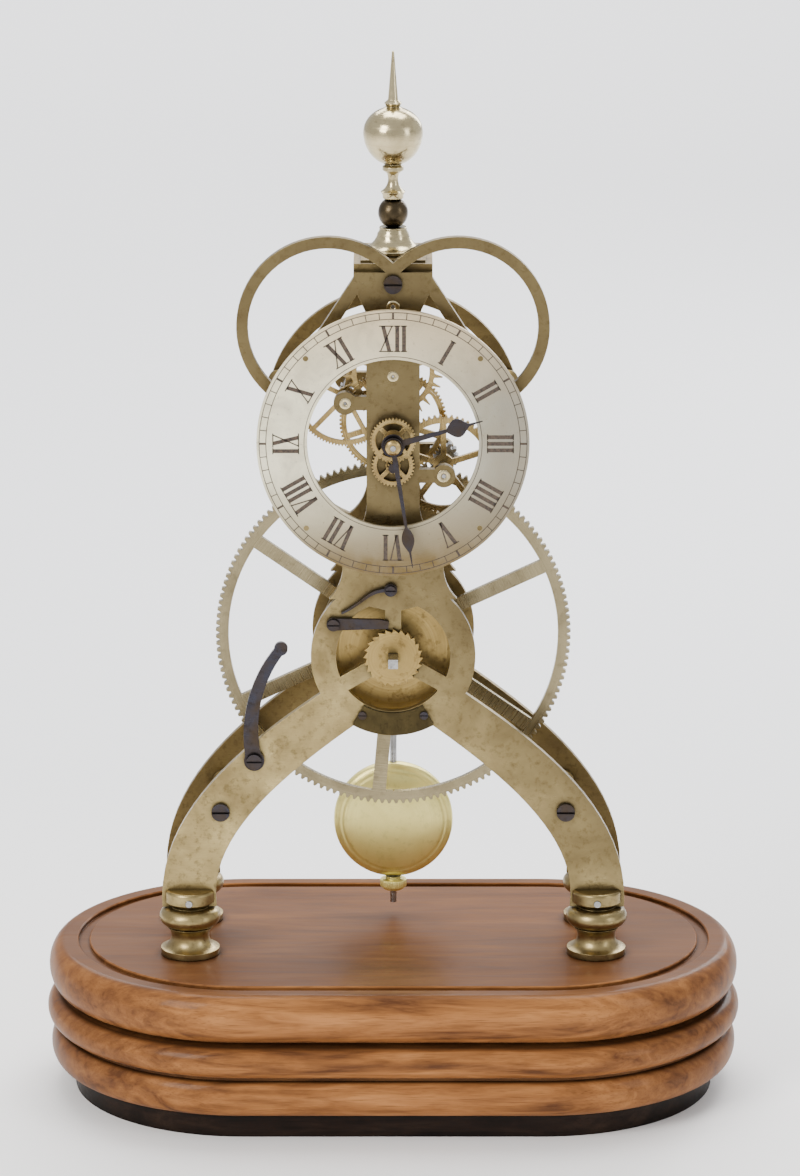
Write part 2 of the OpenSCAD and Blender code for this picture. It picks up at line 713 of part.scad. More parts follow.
// Escape wheel with long pointed teeth that lean forward
module escape_wheel() color(brass) on_base() difference() {
  union() {
    slab(escape_y) translate(escape_at) difference() {
      polygon([for (i = [0:escape_n - 1]) let (a = 90 - i * 360 / escape_n) each [
        polar(escape_r, a),
        polar(escape_r, a - tip_a),
        polar(escape_r - escape_tooth, a - undercut_a),
        polar(escape_r - escape_tooth - 0.4, a - root_a),
        polar(escape_r - escape_tooth, a - 360 / escape_n + back_a)]]);
      circle(r = escape_rim_r, $fn = 96);
    }
    slab(escape_y) translate(escape_at) for (i = [0:4]) rotate(90 + i * 72)
      translate([0, -1]) square([escape_rim_r + 0.6, 2]);
    rod(escape_at, 3.5, escape_y);
  }
  rod(escape_at, escape_shaft_r, [escape_y[0] - 1, escape_y[1] + 1]);
}

module escape_arbor() color(steel) on_base() pinion_arbor(escape_at, escape_shaft_r,
  escape_pivot_r, escape_pinion_n, third_m, escape_pinion_phase, escape_pinion_y, front_y0,
  rear_y1);

// ---- escapement ----------------------------------------------------------

nib_gap = 1.5;
anchor_r0 = escape_r + 3.4;
anchor_r1 = escape_r + 6.6;
anchor_half = 49;
// One nib, from its tip's outer corner to its root, on the side where the bar begins or ends
function nib(side) = let (a = 90 + side * anchor_half) [
  polar(escape_r + nib_gap + 0.5, a - side),
  polar(escape_r + nib_gap, a - 5 * side),
  polar(anchor_r0, a - 7 * side)];

// Anchor: a bowed bar over the wheel with a nib at each end, hung from its arbor
module pallet_anchor() color(steel) on_base() difference() {
  union() {
    slab(escape_y) translate(escape_at) polygon(concat(
      arc([0, 0], anchor_r1, 90 + anchor_half, 90 - anchor_half, 18),
      nib(-1),
      arc([0, 0], anchor_r0, 99 - anchor_half, 81 + anchor_half, 14),
      [for (i = [2:-1:0]) nib(1)[i]]));
    slab(escape_y) translate(escape_at) polygon([[-3.5, anchor_r0 + 0.8], [3.5, anchor_r0 + 0.8],
      [2, pallet_rise], [-2, pallet_rise]]);
    rod(pallet_at, 3.4, escape_y);
  }
  rod(pallet_at, pallet_r, [escape_y[0] - 1, escape_y[1] + 1]);
}

crutch_y = [rear_y1 + 1.2, rear_y1 + 2.8];

module pallet_arbor() color(steel) on_base() {
  rod(pallet_at, pallet_r, [front_y1 + shoulder, rear_y0 - shoulder]);
  rod(pallet_at, pallet_pivot_r, [front_y0, crutch_y[1]]);
}

crutch_l = 48;
fork_gap = 0.4;
fork_t = 1.6;
fork_h = 3;
fork_half = rod_r + fork_gap + fork_t;

// Crutch: a thin arm behind the rear plate, ending in a fork round the pendulum rod
module crutch() color(steel) on_base() difference() {
  union() {
    rod(pallet_at, 2.6, crutch_y);
    slab(crutch_y) translate(pallet_at)
      polygon([[-1, -crutch_l], [1, -crutch_l], [1.2, 0], [-1.2, 0]]);
    slab(crutch_y) translate(pallet_at - [fork_half, crutch_l + fork_h / 2])
      square([2 * fork_half, fork_h]);
    for (side = [0, 1]) mirror([side, 0, 0])
      translate([rod_r + fork_gap, crutch_y[0], swing_axis_z - crutch_l - fork_h / 2])
        cube([fork_t, pendulum_y + 3 - crutch_y[0], fork_h]);
  }
  rod(pallet_at, pallet_pivot_r, [crutch_y[0] - 1, crutch_y[1] + 1]);
}

// ---- motion work and hands -----------------------------------------------

module cannon_pinion() color(steel) on_base() difference() {
  union() {
    slab(cannon_y) translate(centre_at)
      polygon(gear_outline(cannon_n, cannon_m, pinion_addendum, cannon_phase));
    rod(centre_at, cannon_pipe_r, [minute_hand_y[0] - 0.3, cannon_y[1]]);
  }
  rod(centre_at, centre_pivot_r + pivot_shake, [minute_hand_y[0] - 1, cannon_y[1] + 1]);
}

// Wheel and pinion that turn together on a stud under the dial
module minute_wheel() color(brass) on_base() difference() {
  union() {
    spoked_wheel(minute_at, minute_wheel_y, minute_n, cannon_m, minute_phase, 1.5, 4, 1.8, 3.2,
      stud_r, 45);
    slab(minute_pinion_y) translate(minute_at)
      polygon(gear_outline(minute_pinion_n, hour_m, pinion_addendum, minute_pinion_phase));
  }
  rod(minute_at, stud_r + pivot_shake, [minute_pinion_y[0] - 1, minute_wheel_y[1] + 1]);
}

module minute_stud() color(blue_steel) on_base() {
  rod(minute_at, stud_r, [minute_pinion_y[0] - 0.4, front_y1]);
  rod(minute_at, 2, [minute_pinion_y[0] - 1.2, minute_pinion_y[0] - 0.2]);
}

// Hour wheel with the pipe that carries the hour hand over the cannon pinion's pipe
module hour_wheel() color(brass) on_base() difference() {
  union() {
    spoked_wheel(centre_at, hour_wheel_y, hour_n, hour_m, hour_phase, 1.6, 4, 1.8, 4.5,
      cannon_pipe_r, 45);
    rod(centre_at, hour_pipe_r, [hour_hand_y[0], hour_wheel_y[1]]);
  }
  rod(centre_at, cannon_pipe_r + pivot_shake, [hour_hand_y[0] - 1, hour_wheel_y[1] + 1]);
}

hour_angle = 90 - 30 * (shown_hour + shown_minute / 60);
minute_angle = 90 - 6 * shown_minute;
hour_hand_l = 40;
minute_hand_l = 54;

// Upper edge of a hand drawn along +x: tapered stem, a swelling spade and a fine point
function hand_edge(l, stem_w, spade_w, spade_l) = concat(
  [[0, stem_w], [l - spade_l, stem_w / 2]],
  [for (i = [1:7]) let (t = i / 8) [l - spade_l + 0.6 * spade_l * t,
    stem_w / 2 * (1 - t) + 0.5 * t + spade_w / 2 * sin(180 * t)]],
  [[l - 0.38 * spade_l, 0.5], [l, 0.15]]);

module hand(l, boss, stem_w, spade_w, spade_l) {
  edge = hand_edge(l, stem_w, spade_w, spade_l);
  circle(r = boss);
  polygon(concat([for (p = edge) [p[0], -p[1]]], [for (i = [len(edge) - 1:-1:0]) edge[i]]));
}

module hour_hand() color(blue_steel) on_base() difference() {
  slab(hour_hand_y) translate(centre_at) rotate(hour_angle) hand(hour_hand_l, 5, 1.5, 7, 16);
  rod(centre_at, hour_pipe_r, [hour_hand_y[0] - 1, hour_hand_y[1] + 1]);
}

module minute_hand() color(blue_steel) on_base() difference() {
  slab(minute_hand_y) translate(centre_at) rotate(minute_angle) hand(minute_hand_l, 4, 1.2, 4.4, 18);
  rod(centre_at, cannon_pipe_r, [minute_hand_y[0] - 1, minute_hand_y[1] + 1]);
}

// Domed collet that a pin through the arbor holds on the minute hand
module hand_collet() color(brass) on_base() difference() {
  turned_y(centre_at) polygon([[0, minute_hand_y[0] - 2], [2.2, minute_hand_y[0] - 2],
    [3.2, minute_hand_y[0] - 1.2], [3.4, minute_hand_y[0] - 0.3], [0, minute_hand_y[0] - 0.3]]);
  rod(centre_at, centre_pivot_r + pivot_shake, [minute_hand_y[0] - 3, minute_hand_y[0]]);
}

// ---- pendulum ------------------------------------------------------------

cheek_y = [[rear_y1 + 3.6, rear_y1 + 5.6], [rear_y1 + 8.4, rear_y1 + 10.4]];
cock_screw_x = 8.5;
cock_screw_z = swing_axis_z;
suspension_pin_r = 1.5;

// Cock on the rear plate, with two cheeks that carry the suspension's pin
module suspension_cock() color(brass) on_base() difference() {
  translate([-11.5, rear_y1, swing_axis_z - 5]) cube([23, cheek_y[1][1] - rear_y1, 10.5]);
  translate([-5.5, rear_y1 - 1, swing_axis_z - 6]) cube([11, cheek_y[0][0] - rear_y1 + 1, 12]);
  translate([-5.5, cheek_y[0][1], swing_axis_z - 6]) cube([11, cheek_y[1][0] - cheek_y[0][1], 12]);
  rod([0, swing_axis_z], suspension_pin_r + pivot_shake, [rear_y1 + 3, cheek_y[1][1] + 1]);
  for (x = [-cock_screw_x, cock_screw_x]) rod([x, cock_screw_z], 1.2, [rear_y1 - 1, cheek_y[1][1] + 1]);
}

module cock_screws() color(blue_steel) on_base() for (x = [-cock_screw_x, cock_screw_x])
  mirror([0, 1, 0]) screw([x, cock_screw_z], -cheek_y[1][1], 2.4, 1.6, 1.15, cheek_y[1][1] - rear_y0);

strip_l = 16;
strip_w = 2.4;
chop_h = 7;

// Suspension: round upper block on its pin, spring strip and the lower block
module suspension_spring() color(pale_brass) on_base() {
  rod([0, swing_axis_z], suspension_pin_r, [cheek_y[0][0], cheek_y[1][1]]);
  rod([0, swing_axis_z], 3, [pendulum_y - strip_w / 2, pendulum_y + strip_w / 2]);
  translate([-0.2, pendulum_y - strip_w / 2, swing_axis_z - strip_l - 1])
    cube([0.4, strip_w, strip_l]);
  translate([-2.5, pendulum_y - 2, swing_axis_z - strip_l - chop_h]) cube([5, 4, chop_h]);
}

module pendulum_rod() color(steel) on_base() translate([0, pendulum_y, 5])
  cylinder(r = rod_r, h = swing_axis_z - strip_l - chop_h - 5);

bob_edge = 2.4;

// Lens-shaped bob that slides on the rod
module pendulum_bob() color(pale_brass) on_base() difference() {
  translate([0, pendulum_y, bob_z]) rotate([-90, 0, 0]) rotate_extrude($fn = 128)
    polygon(concat([[0, -bob_t / 2]], bob_curve(-1), bob_curve(1), [[0, bob_t / 2]]));
  translate([0, pendulum_y, bob_z - bob_r - 1]) cylinder(r = rod_r + pivot_shake, h = 2 * bob_r + 2);
}

// One face of the bob, from its middle out to its edge for side -1 and back in for side 1
function bob_curve(side) = let (n = 8)
  [for (k = [1:n]) let (t = (side < 0 ? k : n + 1 - k) / n)
    [bob_r * t, side * (bob_edge / 2 + (bob_t - bob_edge) / 2 * sqrt(1 - t * t))]];

nut_r = 6;
nut_h = 6;

// Round nut under the bob, with a flat top and a turned lower edge
module rating_nut() color(brass) on_base() difference() {
  translate([0, pendulum_y, bob_z - bob_r - 0.3 - nut_h]) rotate_extrude()
    polygon([[0, 0], [nut_r - 1.5, 0], [nut_r, 1.5], [nut_r, nut_h - 1.5], [3.5, nut_h - 1],
      [3.5, nut_h], [0, nut_h]]);
  translate([0, pendulum_y, 0]) cylinder(r = rod_r + pivot_shake, h = bob_z);
}

// ---- stop lever ----------------------------------------------------------

lever_y = [front_y0 - 2.6, front_y0 - 0.2];
lever_curve = [[0, 0], [-4, 18], [1, 38], [12, 51]];

// Curved steel lever on the left leg
module stop_lever() color(blue_steel) on_base() difference() {
  union() {
    rod(lever_at, 4.5, lever_y);
    slab(lever_y) translate(lever_at) {
      polygon(ribbon(lever_curve, 7, 4.4, 14));
      translate(lever_curve[3]) circle(r = 3);
    }
  }
  rod(lever_at, 1.5 + pivot_shake, [lever_y[0] - 1, lever_y[1] + 1]);
}

module stop_lever_screw() color(blue_steel) on_base()
  screw(lever_at, lever_y[0] - 0.1, 3.4, 1.8, 1.5, front_y1 - lever_y[0] + 0.1);

base_board();
base_plinth();
frame_feet();
foot_bolts();
foot_pins();
front_plate();
rear_plate();
pillars();
pillar_screws();
top_cap();
finial_stud();
finial_base();
finial_knop();
finial_spire();
nameplate();
nameplate_screws();
chapter_ring();
dial_posts();
barrel_drum();
barrel_cover();
great_wheel();
mainspring();
barrel_arbor();
ratchet_wheel();
click();
click_screw();
click_spring();
intermediate_wheel();
intermediate_arbor();
centre_wheel();
centre_arbor();
third_wheel();
third_arbor();
escape_wheel();
escape_arbor();
pallet_anchor();
pallet_arbor();
crutch();
cannon_pinion();
minute_wheel();
minute_stud();
hour_wheel();
hour_hand();
minute_hand();
hand_collet();
suspension_cock();
cock_screws();
suspension_spring();
pendulum_rod();
pendulum_bob();
rating_nut();
stop_lever();
stop_lever_screw();
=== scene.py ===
"""Skeleton clock on an oval mahogany base: materials, turned and engraved pieces, light and camera."""

import json
import math

import bmesh
import bpy
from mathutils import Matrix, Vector


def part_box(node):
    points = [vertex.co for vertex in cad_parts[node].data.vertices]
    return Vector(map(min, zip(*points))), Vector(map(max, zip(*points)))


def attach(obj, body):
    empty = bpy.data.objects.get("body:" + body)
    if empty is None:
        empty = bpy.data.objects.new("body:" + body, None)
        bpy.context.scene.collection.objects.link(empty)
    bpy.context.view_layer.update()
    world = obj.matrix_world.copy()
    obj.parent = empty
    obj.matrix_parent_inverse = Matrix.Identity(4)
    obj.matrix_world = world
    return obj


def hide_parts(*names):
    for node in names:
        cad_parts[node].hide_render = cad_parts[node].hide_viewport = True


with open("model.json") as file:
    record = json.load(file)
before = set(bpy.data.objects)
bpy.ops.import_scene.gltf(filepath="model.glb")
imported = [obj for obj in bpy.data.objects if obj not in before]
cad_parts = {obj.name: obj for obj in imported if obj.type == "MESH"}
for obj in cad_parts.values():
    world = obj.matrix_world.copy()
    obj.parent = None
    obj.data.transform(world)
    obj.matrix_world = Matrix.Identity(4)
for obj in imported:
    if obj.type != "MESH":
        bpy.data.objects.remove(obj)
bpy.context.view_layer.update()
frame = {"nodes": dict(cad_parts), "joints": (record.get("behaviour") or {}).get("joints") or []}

MM = 0.001  # everything here is in metres
PLATE_GRAIN = (260, 260, 2600)  # waves to the metre: brushed up the plates
joints = {j["name"]: Vector(j["pos_m"]) for j in frame["joints"] if "pos_m" in j}

# ---- materials -------------------------------------------------------------


class Shader:
    """A Principled material with short helpers for its nodes."""

    def __init__(self, name):
        self.mat = bpy.data.materials.new(name)
        self.mat.use_nodes = True
        self.tree = self.mat.node_tree
        self.bsdf = self.tree.nodes["Principled BSDF"]
        self.coords = self.node("ShaderNodeTexCoord").outputs["Object"]
        self.soft = None

    def node(self, kind, **inputs):
        made = self.tree.nodes.new(kind)
        for key, value in inputs.items():
            self.feed(made.inputs[key.replace("_", " ")], value)
        return made

    def feed(self, socket, value):
        if isinstance(value, bpy.types.NodeSocket):
            self.tree.links.new(value, socket)
        else:
            socket.default_value = value

    def set(self, name, value):
        self.feed(self.bsdf.inputs[name], value)

    def scaled(self, scale, shift=(0, 0, 0)):
        """Object coordinates, shifted and stretched."""
        moved = self.node("ShaderNodeVectorMath", Vector=self.coords)
        moved.operation = "SUBTRACT"
        moved.inputs[1].default_value = shift
        out = self.node("ShaderNodeVectorMath")
        out.operation = "MULTIPLY"
        self.feed(out.inputs[0], moved.outputs[0])
        out.inputs[1].default_value = scale
        return out.outputs[0]

    def noise(self, vector, detail=4.0, roughness=0.55, distortion=0.0):
        made = self.node(
            "ShaderNodeTexNoise",
            Vector=vector,
            Scale=1.0,
            Detail=detail,
            Roughness=roughness,
            Distortion=distortion,
        )
        return made.outputs["Fac"]

    def ramp(self, fac, *stops):
        made = self.node("ShaderNodeValToRGB", Fac=fac)
        elements = made.color_ramp.elements
        while len(elements) < len(stops):
            elements.new(0.5)
        for element, (place, colour) in zip(elements, stops):
            element.position = place
            element.color = (*colour, 1) if len(colour) == 3 else colour
        return made.outputs["Color"]

    def grey(self, fac, low, high, start=0.3, end=0.7):
        """fac between start and end, as a value from low to high."""
        made = self.node("ShaderNodeMapRange")
        self.feed(made.inputs["Value"], fac)
        for key, value in (
            ("From Min", start),
            ("From Max", end),
            ("To Min", low),
            ("To Max", high),
        ):
            made.inputs[key].default_value = value
        return made.outputs["Result"]

    def mix(self, fac, first, second, blend="MIX"):
        made = self.node("ShaderNodeMix")
        made.data_type = "RGBA"
        made.blend_type = blend
        sockets = [s for s in made.inputs if s.enabled]
        for socket, value in zip(sockets, (fac, first, second)):
            if isinstance(value, tuple) and len(value) == 3:
                value = (*value, 1)
            self.feed(socket, value)
        return next(s for s in made.outputs if s.enabled)

    def distance(self, centre, axes):
        """Distance from a line through centre, along the axis whose entry in axes is 0."""
        made = self.node("ShaderNodeVectorMath")
        made.operation = "LENGTH"
        self.feed(made.inputs[0], self.scaled(axes, centre))
        return made.outputs["Value"]

    def turned(self, centre, axes, pitch):
        """The fine rings a lathe leaves about a line through centre."""
        made = self.node("ShaderNodeTexNoise", Scale=1.0 / pitch, Detail=2.0)
        made.noise_dimensions = "1D"
        self.feed(made.inputs["W"], self.distance(centre, axes))
        return made.outputs["Fac"]

    def along(self, way):
        """How far a point lies in the direction way from the origin."""
        made = self.node("ShaderNodeVectorMath")
        made.operation = "DOT_PRODUCT"
        self.feed(made.inputs[0], self.coords)
        made.inputs[1].default_value = way
        return made.outputs["Value"]

    def grime_and_painted_shade(self, colour, amount, reach):
        """Darkens colour where surfaces meet, by ambient occlusion: painted shade in the corners and
        between parts, with the dirt that gathers there.
        """
        shade = self.node("ShaderNodeAmbientOcclusion", Distance=reach)
        shade.samples = 6
        dark = self.grey(shade.outputs["AO"], 1.0 - amount, 1.0, 0.35, 0.95)
        return self.mix(1.0, colour, dark, "MULTIPLY")

    def round_edges(self, radius):
        """Rounds every edge to radius, for the relief and the wear."""
        bevel = self.node("ShaderNodeBevel", Radius=radius)
        bevel.samples = 4
        self.soft = bevel.outputs["Normal"]

    def wear(self, colour, bare, amount, patches):
        """Rubs the rounded edges to bare, more in some patches than in others."""
        turned = self.node("ShaderNodeVectorMath")
        turned.operation = "DOT_PRODUCT"
        self.feed(turned.inputs[0], self.soft)
        self.feed(turned.inputs[1], self.node("ShaderNodeNewGeometry").outputs["Normal"])
        edge = self.grey(turned.outputs["Value"], amount, 0, 0.8, 0.985)
        rubbed = self.node("ShaderNodeMath")
        rubbed.operation = "MULTIPLY"
        self.feed(rubbed.inputs[0], edge)
        self.feed(rubbed.inputs[1], self.grey(patches, 0.35, 1))
        return self.mix(rubbed.outputs[0], colour, bare)

    def relief(self, height, depth):
        """Bump, over the rounded edges where there are any."""
        made = self.node("ShaderNodeBump", Strength=1.0, Distance=depth, Height=height)
        if self.soft:
            self.feed(made.inputs["Normal"], self.soft)
        self.set("Normal", made.outputs["Normal"])


def rubbed(colour):
    """The brighter metal under a worn edge."""
    return tuple(min(1.0, 1.35 * c + 0.02) for c in colour)


def metal(
    name,
    bright,
    dull,
    stain,
    rough,
    grain,
    cloud=45,
    spot=320,
    stained=0.6,
    edge=0.3,
    painted_side_shade=None,
):
    """Aged metal: clouded tarnish, darker spots, grain lines, and dirt with painted shade in the
    corners.

    grain stretches the lines, as waves to the metre along each axis. painted_side_shade is a
    direction, the two distances along it between which a painted shade grows towards that side, and
    the shade's colour.
    """
    s = Shader(name)
    s.round_edges(edge * MM)
    clouds = s.noise(s.scaled((cloud,) * 3), 5, 0.6, 0.4)
    colour = s.ramp(clouds, (0.32, bright), (0.68, dull))
    # painted shade: the colour darkens towards one side of the piece, between the two distances
    if painted_side_shade:
        way, start, end, shade = painted_side_shade
        colour = s.mix(s.grey(s.along(way), 0, 0.8, start, end), colour, shade)
    spots = s.noise(s.scaled((spot,) * 3), 3, 0.7)
    colour = s.mix(s.grey(spots, 0, stained, 0.52, 0.74), colour, stain)
    lines = s.noise(s.scaled(grain), 2, 0.5)
    colour = s.mix(s.grey(lines, 0, 0.18), colour, dull)
    # painted shade and dirt where surfaces meet, from the ambient occlusion
    colour = s.wear(s.grime_and_painted_shade(colour, 0.62, 3.5 * MM), rubbed(bright), 0.7, clouds)
    s.set("Base Color", colour)
    s.set("Metallic", 1.0)
    worn = s.mix(0.45, clouds, lines)
    s.set("Roughness", s.grey(worn, rough[0], rough[1], 0.35, 0.65))
    s.relief(lines, 0.025 * MM)
    return s.mat


def turned_metal(
    name, bright, dull, stain, rough, centre, axes, pitch, stained=0.5, metallic=1.0
):
    """Metal finished on a lathe: fine rings about a line through centre."""
    s = Shader(name)
    s.round_edges(0.25 * MM)
    clouds = s.noise(s.scaled((38,) * 3, centre), 5, 0.6, 0.6)
    colour = s.ramp(clouds, (0.3, bright), (0.72, dull))
    rings = s.turned(centre, axes, pitch)
    spots = s.noise(s.scaled((260,) * 3), 3, 0.7)
    colour = s.mix(s.grey(spots, 0, stained, 0.54, 0.76), colour, stain)
    colour = s.mix(s.grey(rings, 0, 0.22), colour, dull)
    # painted shade and dirt where surfaces meet, from the ambient occlusion
    colour = s.wear(s.grime_and_painted_shade(colour, 0.6, 3 * MM), rubbed(bright), 0.7, clouds)
    s.set("Base Color", colour)
    s.set("Metallic", metallic)
    s.set("Roughness", s.grey(rings, rough[0], rough[1], 0.35, 0.65))
    s.relief(rings, 0.012 * MM)
    return s.mat


def polished_wood(name, pale, mid, dark, coat):
    """Close-grained wood under an old polish: grain along x, with painted shade on top and at the
    ends.
    """
    s = Shader(name)
    s.round_edges(0.4 * MM)
    broad = s.noise(s.scaled((7, 46, 46)), 6, 0.6, 1.4)
    figure = s.noise(s.scaled((22, 210, 210)), 5, 0.62, 0.8)
    pores = s.noise(s.scaled((90, 2100, 2100)), 2, 0.5)
    blend = s.mix(0.45, broad, figure)
    colour = s.ramp(blend, (0.36, dark), (0.5, mid), (0.64, pale))
    colour = s.mix(s.grey(pores, 0, 0.55, 0.55, 0.75), colour, dark)
    # painted shade: faces turned up are darkened
    painted_top_shade = s.node("ShaderNodeSeparateXYZ", Vector=s.soft)
    colour = s.mix(s.grey(painted_top_shade.outputs["Z"], 0, 0.7, 0.8, 0.99), colour, dark)
    place = s.node("ShaderNodeSeparateXYZ", Vector=s.coords)
    # painted shade: darker towards both rounded ends of the oval, which turn away from the light
    for end in (-1, 1):
        painted_end_shade = s.grey(place.outputs["X"], 0, 0.6, end * 0.08, end * 0.15)
        colour = s.mix(painted_end_shade, colour, dark)
    # painted shade and dirt where surfaces meet, from the ambient occlusion
    s.set("Base Color", s.wear(s.grime_and_painted_shade(colour, 0.75, 4 * MM), rubbed(pale), 0.45, broad))
    s.set("Roughness", s.grey(figure, 0.34, 0.5))
    s.set("Specular IOR Level", 0.05)
    smears = s.noise(s.scaled((18, 30, 30)), 4, 0.6)
    s.set("Coat Weight", s.grey(smears, 0.6 * coat, coat))
    s.set("Coat Roughness", s.grey(smears, 0.06, 0.16))
    s.relief(pores, 0.01 * MM)
    return s.mat


dial_lo, dial_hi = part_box("chapter_ring")
dial_centre = (dial_lo + dial_hi) / 2
dial_r = (dial_hi.x - dial_lo.x) / 2
bob_lo, bob_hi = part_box("pendulum_bob")
bob_centre = (bob_lo + bob_hi) / 2
barrel_centre = joints["barrel_turn"]
ALONG_Y = (1, 0, 1)  # the axes across a line along y
ALONG_Z = (1, 1, 0)

mahogany = polished_wood(
    "mahogany", (0.40, 0.172, 0.058), (0.245, 0.098, 0.031), (0.085, 0.033, 0.013), 0.12
)
ebony = polished_wood(
    "ebonised_wood", (0.032, 0.018, 0.011), (0.016, 0.009, 0.006), (0.006, 0.004, 0.003), 0.15
)
plate_brass = metal(
    "plate_brass",
    (0.50, 0.39, 0.18),
    (0.23, 0.17, 0.075),
    (0.08, 0.054, 0.022),
    (0.27, 0.46),
    PLATE_GRAIN,
    # painted shade, darker towards the right and the top, away from the key light
    painted_side_shade=((0.8, 0, 0.6), 0.09, 0.155, (0.115, 0.086, 0.042)),
)
# a darker copy of the plate brass: painted shade on the rear plate, pillars, top cap and cock, which
# stand behind in shadow
shaded_rear_brass = metal(
    "shaded_rear_plate_brass",
    (0.27, 0.20, 0.085),
    (0.14, 0.098, 0.042),
    (0.06, 0.04, 0.018),
    (0.32, 0.52),
    PLATE_GRAIN,
)
wheel_brass = turned_metal(
    "wheel_brass",
    (0.35, 0.295, 0.175),
    (0.20, 0.165, 0.095),
    (0.09, 0.07, 0.038),
    (0.24, 0.4),
    barrel_centre,
    ALONG_Y,
    0.5 * MM,
)
barrel_brass = turned_metal(
    "barrel_brass",
    (0.46, 0.33, 0.125),
    (0.27, 0.185, 0.065),
    (0.10, 0.06, 0.022),
    (0.3, 0.46),
    barrel_centre,
    ALONG_Y,
    0.7 * MM,
    0.8,
)
dial_wheel_brass = turned_metal(
    "dial_wheel_brass",
    (0.52, 0.38, 0.16),
    (0.29, 0.2, 0.085),
    (0.1, 0.07, 0.03),
    (0.25, 0.42),
    dial_centre,
    ALONG_Y,
    0.5 * MM,
)
bob_brass = turned_metal(
    "bob_brass",
    (0.96, 0.85, 0.32),
    (0.78, 0.68, 0.23),
    (0.42, 0.38, 0.12),
    (0.28, 0.46),
    bob_centre,
    ALONG_Y,
    0.5 * MM,
    0.4,
    0.85,
)
finial_brass = turned_metal(
    "finial_brass",
    (0.72, 0.62, 0.38),
    (0.36, 0.29, 0.155),
    (0.12, 0.09, 0.042),
    (0.12, 0.28),
    Vector(),
    ALONG_Z,
    0.5 * MM,
)
bronze = turned_metal(
    "dark_bronze",
    (0.11, 0.08, 0.045),
    (0.05, 0.038, 0.022),
    (0.02, 0.016, 0.01),
    (0.24, 0.42),
    Vector(),
    ALONG_Z,
    0.6 * MM,
)
plate_bronze = metal(
    "nameplate_bronze",
    (0.10, 0.075, 0.03),
    (0.045, 0.034, 0.016),
    (0.018, 0.014, 0.008),
    (0.3, 0.5),
    (2600, 260, 260),
)
bright_steel = metal(
    "bright_steel",
    (0.46, 0.46, 0.46),
    (0.27, 0.27, 0.27),
    (0.11, 0.09, 0.07),
    (0.2, 0.36),
    (260, 2400, 2400),
    cloud=80,
    edge=0.15,
)
blued_steel = metal(
    "blued_steel",
    (0.040, 0.042, 0.058),
    (0.058, 0.042, 0.030),
    (0.022, 0.017, 0.013),
    (0.24, 0.42),
    (240, 240, 2200),
    cloud=90,
    edge=0.15,
)


def silvered_dial():
    """Aged silvering: turned grain, pale above, with painted light on the left and painted shade
    greying it towards the right and browning it below, and with foxing.
    """
    s = Shader("silvered_brass")
    s.round_edges(0.25 * MM)
    height = s.node("ShaderNodeSeparateXYZ", Vector=s.scaled((1, 1, 1), dial_centre))
    # painted light and shade: low darkens the dial towards the bottom, side greys it from the lit left
    # towards the right
    low = s.grey(height.outputs["Z"], 0, 1, -0.2 * dial_r, -0.9 * dial_r)
    side = s.grey(height.outputs["X"], 0, 1, -0.3 * dial_r, 0.8 * dial_r)
    high = s.grey(height.outputs["Z"], 0, 0.7, 0.3 * dial_r, 0.95 * dial_r)
    colour = s.mix(side, (0.95, 0.89, 0.66), (0.33, 0.305, 0.24))
    colour = s.mix(high, colour, (0.62, 0.47, 0.27))
    colour = s.mix(low, colour, (0.17, 0.115, 0.042))
    clouds = s.noise(s.scaled((70,) * 3), 5, 0.6, 0.5)
    colour = s.mix(s.grey(clouds, 0, 0.45, 0.42, 0.7), colour, (0.32, 0.27, 0.18))
    foxing = s.noise(s.scaled((420,) * 3), 4, 0.7)
    colour = s.mix(s.grey(foxing, 0, 0.6, 0.6, 0.78), colour, (0.17, 0.12, 0.06))
    rings = s.turned(dial_centre, ALONG_Y, 0.4 * MM)
    brass = (0.46, 0.355, 0.155)
    # painted shade and dirt where surfaces meet, from the ambient occlusion
    s.set("Base Color", s.wear(s.grime_and_painted_shade(colour, 0.5, 3 * MM), brass, 0.8, clouds))
    s.set("Metallic", 0.8)
    s.set("Roughness", s.grey(rings, 0.36, 0.52, 0.35, 0.65))
    s.relief(rings, 0.012 * MM)
    return s.mat


def filled_engraving():
    """Dark brown wax in the dial's engraving, worn thin in places."""
    s = Shader("engraving_wax")
    wear = s.noise(s.scaled((900,) * 3), 4, 0.65)
    s.set(
        "Base Color", s.ramp(wear, (0.35, (0.022, 0.014, 0.01)), (0.72, (0.1, 0.065, 0.04)))
    )
    s.set("Roughness", s.grey(wear, 0.38, 0.6))
    s.relief(wear, 0.02 * MM)
    return s.mat


silver = silvered_dial()
wax = filled_engraving()

